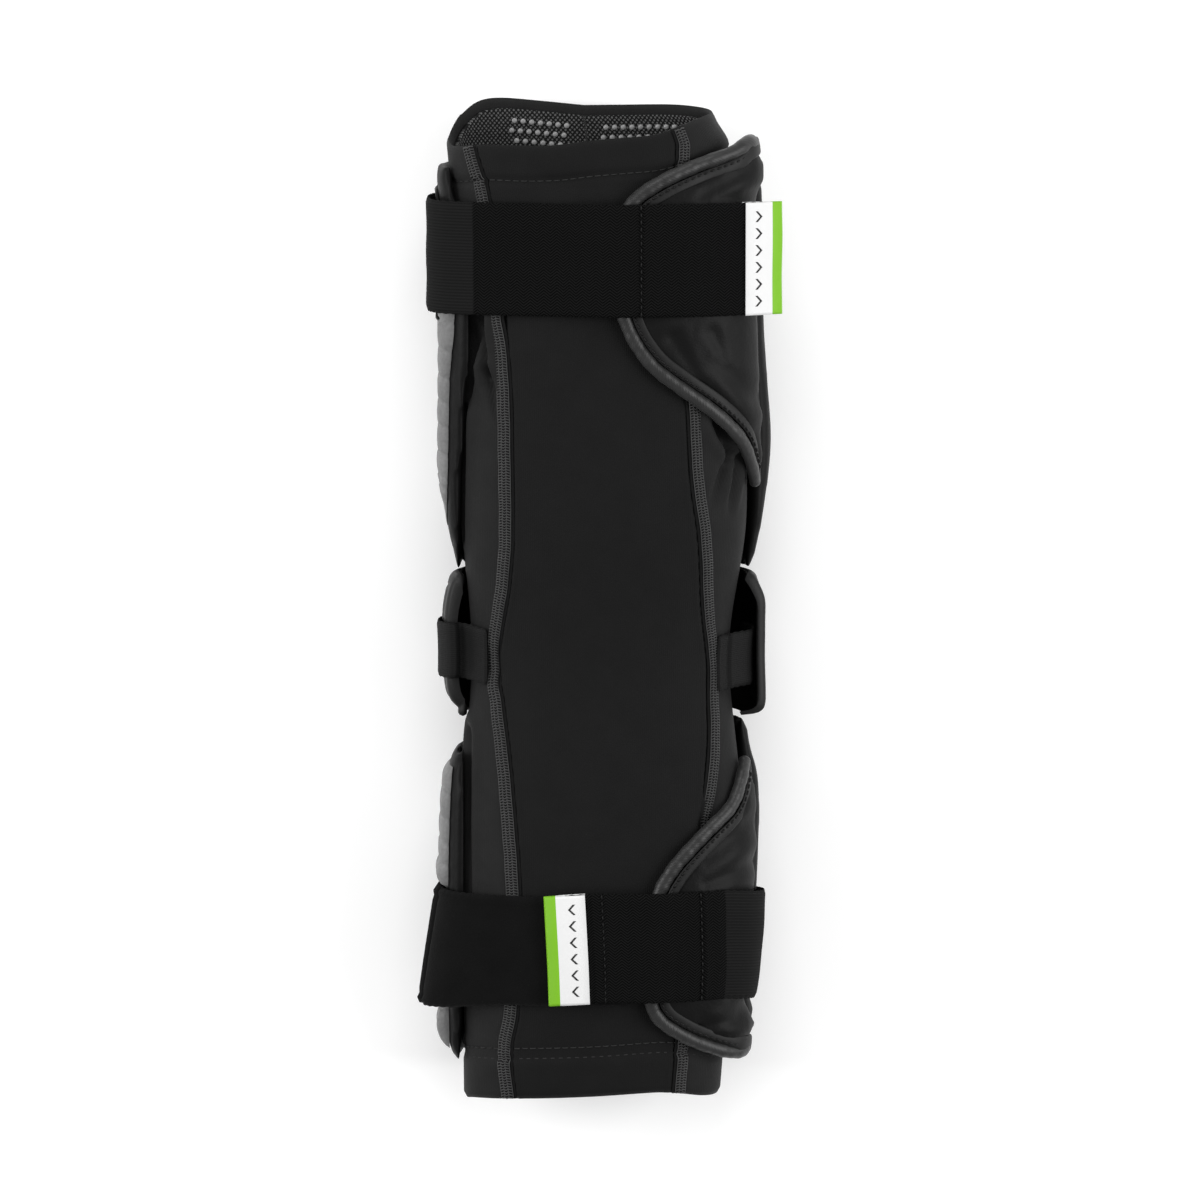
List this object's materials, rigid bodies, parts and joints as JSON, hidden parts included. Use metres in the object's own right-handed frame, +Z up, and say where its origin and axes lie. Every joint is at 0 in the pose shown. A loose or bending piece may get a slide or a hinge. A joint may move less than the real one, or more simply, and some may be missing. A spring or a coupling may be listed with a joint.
{
  "type": "lacrosse arm pad",
  "caption": "Soft arm guard for the left arm: a compression sleeve with foam pads, ribbed shell panels, a hard elbow cap and hook-and-loop straps.",
  "frame": {"origin": "middle of the footprint, on the surface that the outer shell rests on", "axes": "+Y along the arm towards the shoulder opening, +Z up through the soft inner side, +X to the right seen from above"},
  "size_m": [0.131, 0.353, 0.0699],
  "materials": {
    "sleeve_knit": "matt stretch knit",
    "lining_mesh": "open mesh with raised grip print",
    "pad_cloth": "smooth stretch cloth over foam",
    "shell_panel": "moulded foam panel with ribs",
    "cap_shell": "satin moulded plastic",
    "edge_binding": "satin stretch binding",
    "webbing": "herringbone elastic webbing",
    "loop_cloth": "brushed loop cloth",
    "pull_tab": "smooth printed tab"
  },
  "bodies": {
    "root": {"sleeve": "sleeve_knit", "mesh_lining": "lining_mesh", "upper_pad": "pad_cloth", "lower_pad": "pad_cloth", "upper_plate": "shell_panel", "lower_plate": "shell_panel", "cuff_plate": "shell_panel", "elbow_cap": "cap_shell", "elbow_pad": "pad_cloth", "upper_flap": "pad_cloth", "upper_flap_binding": "edge_binding", "lower_flap": "pad_cloth", "lower_flap_binding": "edge_binding", "strap_anchor_patch": "pad_cloth", "upper_strap": "webbing", "lower_landing_panel": "loop_cloth", "lower_strap": "webbing", "upper_pull_tab": "pull_tab", "lower_pull_tab": "pull_tab", "elbow_tab_left": "webbing", "elbow_tab_right": "webbing"}
  },
  "joints": []
}
